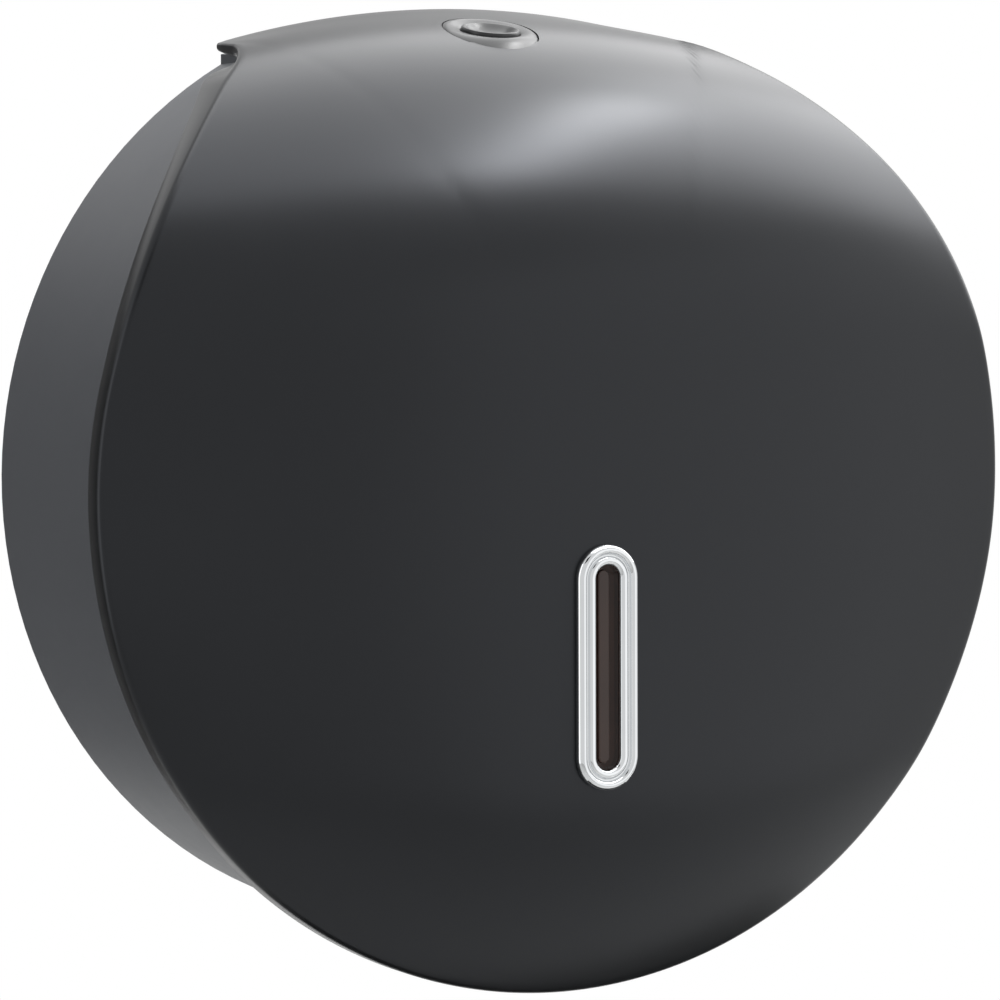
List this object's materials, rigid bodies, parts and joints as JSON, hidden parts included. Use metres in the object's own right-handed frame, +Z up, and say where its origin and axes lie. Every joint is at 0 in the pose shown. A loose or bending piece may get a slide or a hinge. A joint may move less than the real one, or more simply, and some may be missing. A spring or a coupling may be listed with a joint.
{
  "type": "jumbo toilet roll dispenser",
  "caption": "Wall-hung dispenser for a jumbo toilet roll: drum housing with a spindle, a crowned front cover that swings down, a key lock on top and a sight window.",
  "frame": {"origin": "centre of the rectangle of four wall screw holes, on the wall", "axes": "+X to the viewer's right, +Y into the wall, +Z up"},
  "size_m": [0.272, 0.1068, 0.2622],
  "materials": {
    "housing_plastic": "dark grey, satin",
    "cover_plastic": "near-black, glossy",
    "spindle_plastic": "mid grey",
    "bumper_rubber": "matt",
    "smoke_lens": "smoke brown, polished",
    "bezel_chrome": "bright",
    "lock_lacquer": "dark grey lacquer, satin",
    "steel": "plain zinc-plated"
  },
  "bodies": {
    "housing": {"rear_housing": "housing_plastic", "cover_bumpers": "bumper_rubber", "spindle_post": "spindle_plastic", "spindle_post_screws": "steel", "spindle_washer": "steel", "spindle_screw": "steel", "strike_plate": "steel", "strike_screws": "steel", "tear_strip_left": "steel", "tear_strip_right": "steel", "tear_strip_screws": "steel", "hinge_pin_left": "steel", "hinge_pin_right": "steel"},
    "spindle": {"spindle_hub": "spindle_plastic", "spindle_flange": "spindle_plastic", "spindle_cap": "spindle_plastic"},
    "cover": {"cover_shell": "cover_plastic", "window_bezel": "bezel_chrome", "window_lens": "smoke_lens", "window_retainer": "steel", "lock_sleeve": "lock_lacquer", "lock_washer": "steel", "lock_nut": "steel"},
    "lock": {"lock_barrel": "lock_lacquer", "lock_cam": "steel", "lock_cam_screw": "steel"}
  },
  "joints": [
    {"name": "cover_hinge", "type": "hinge", "parent": "housing", "child": "cover", "pos_m": [0, -0.072, -0.108], "axis": [1, 0, 0], "range_deg": [0, 95]},
    {"name": "lock_turn", "type": "hinge", "parent": "cover", "child": "lock", "pos_m": [0, -0.041, 0.1186], "axis": [0, 0.1908, -0.9816], "range_deg": [0, 90]},
    {"name": "spindle_spin", "type": "hinge", "parent": "housing", "child": "spindle", "pos_m": [0, -0.045, 0], "axis": [0, 1, 0], "continuous": true}
  ]
}
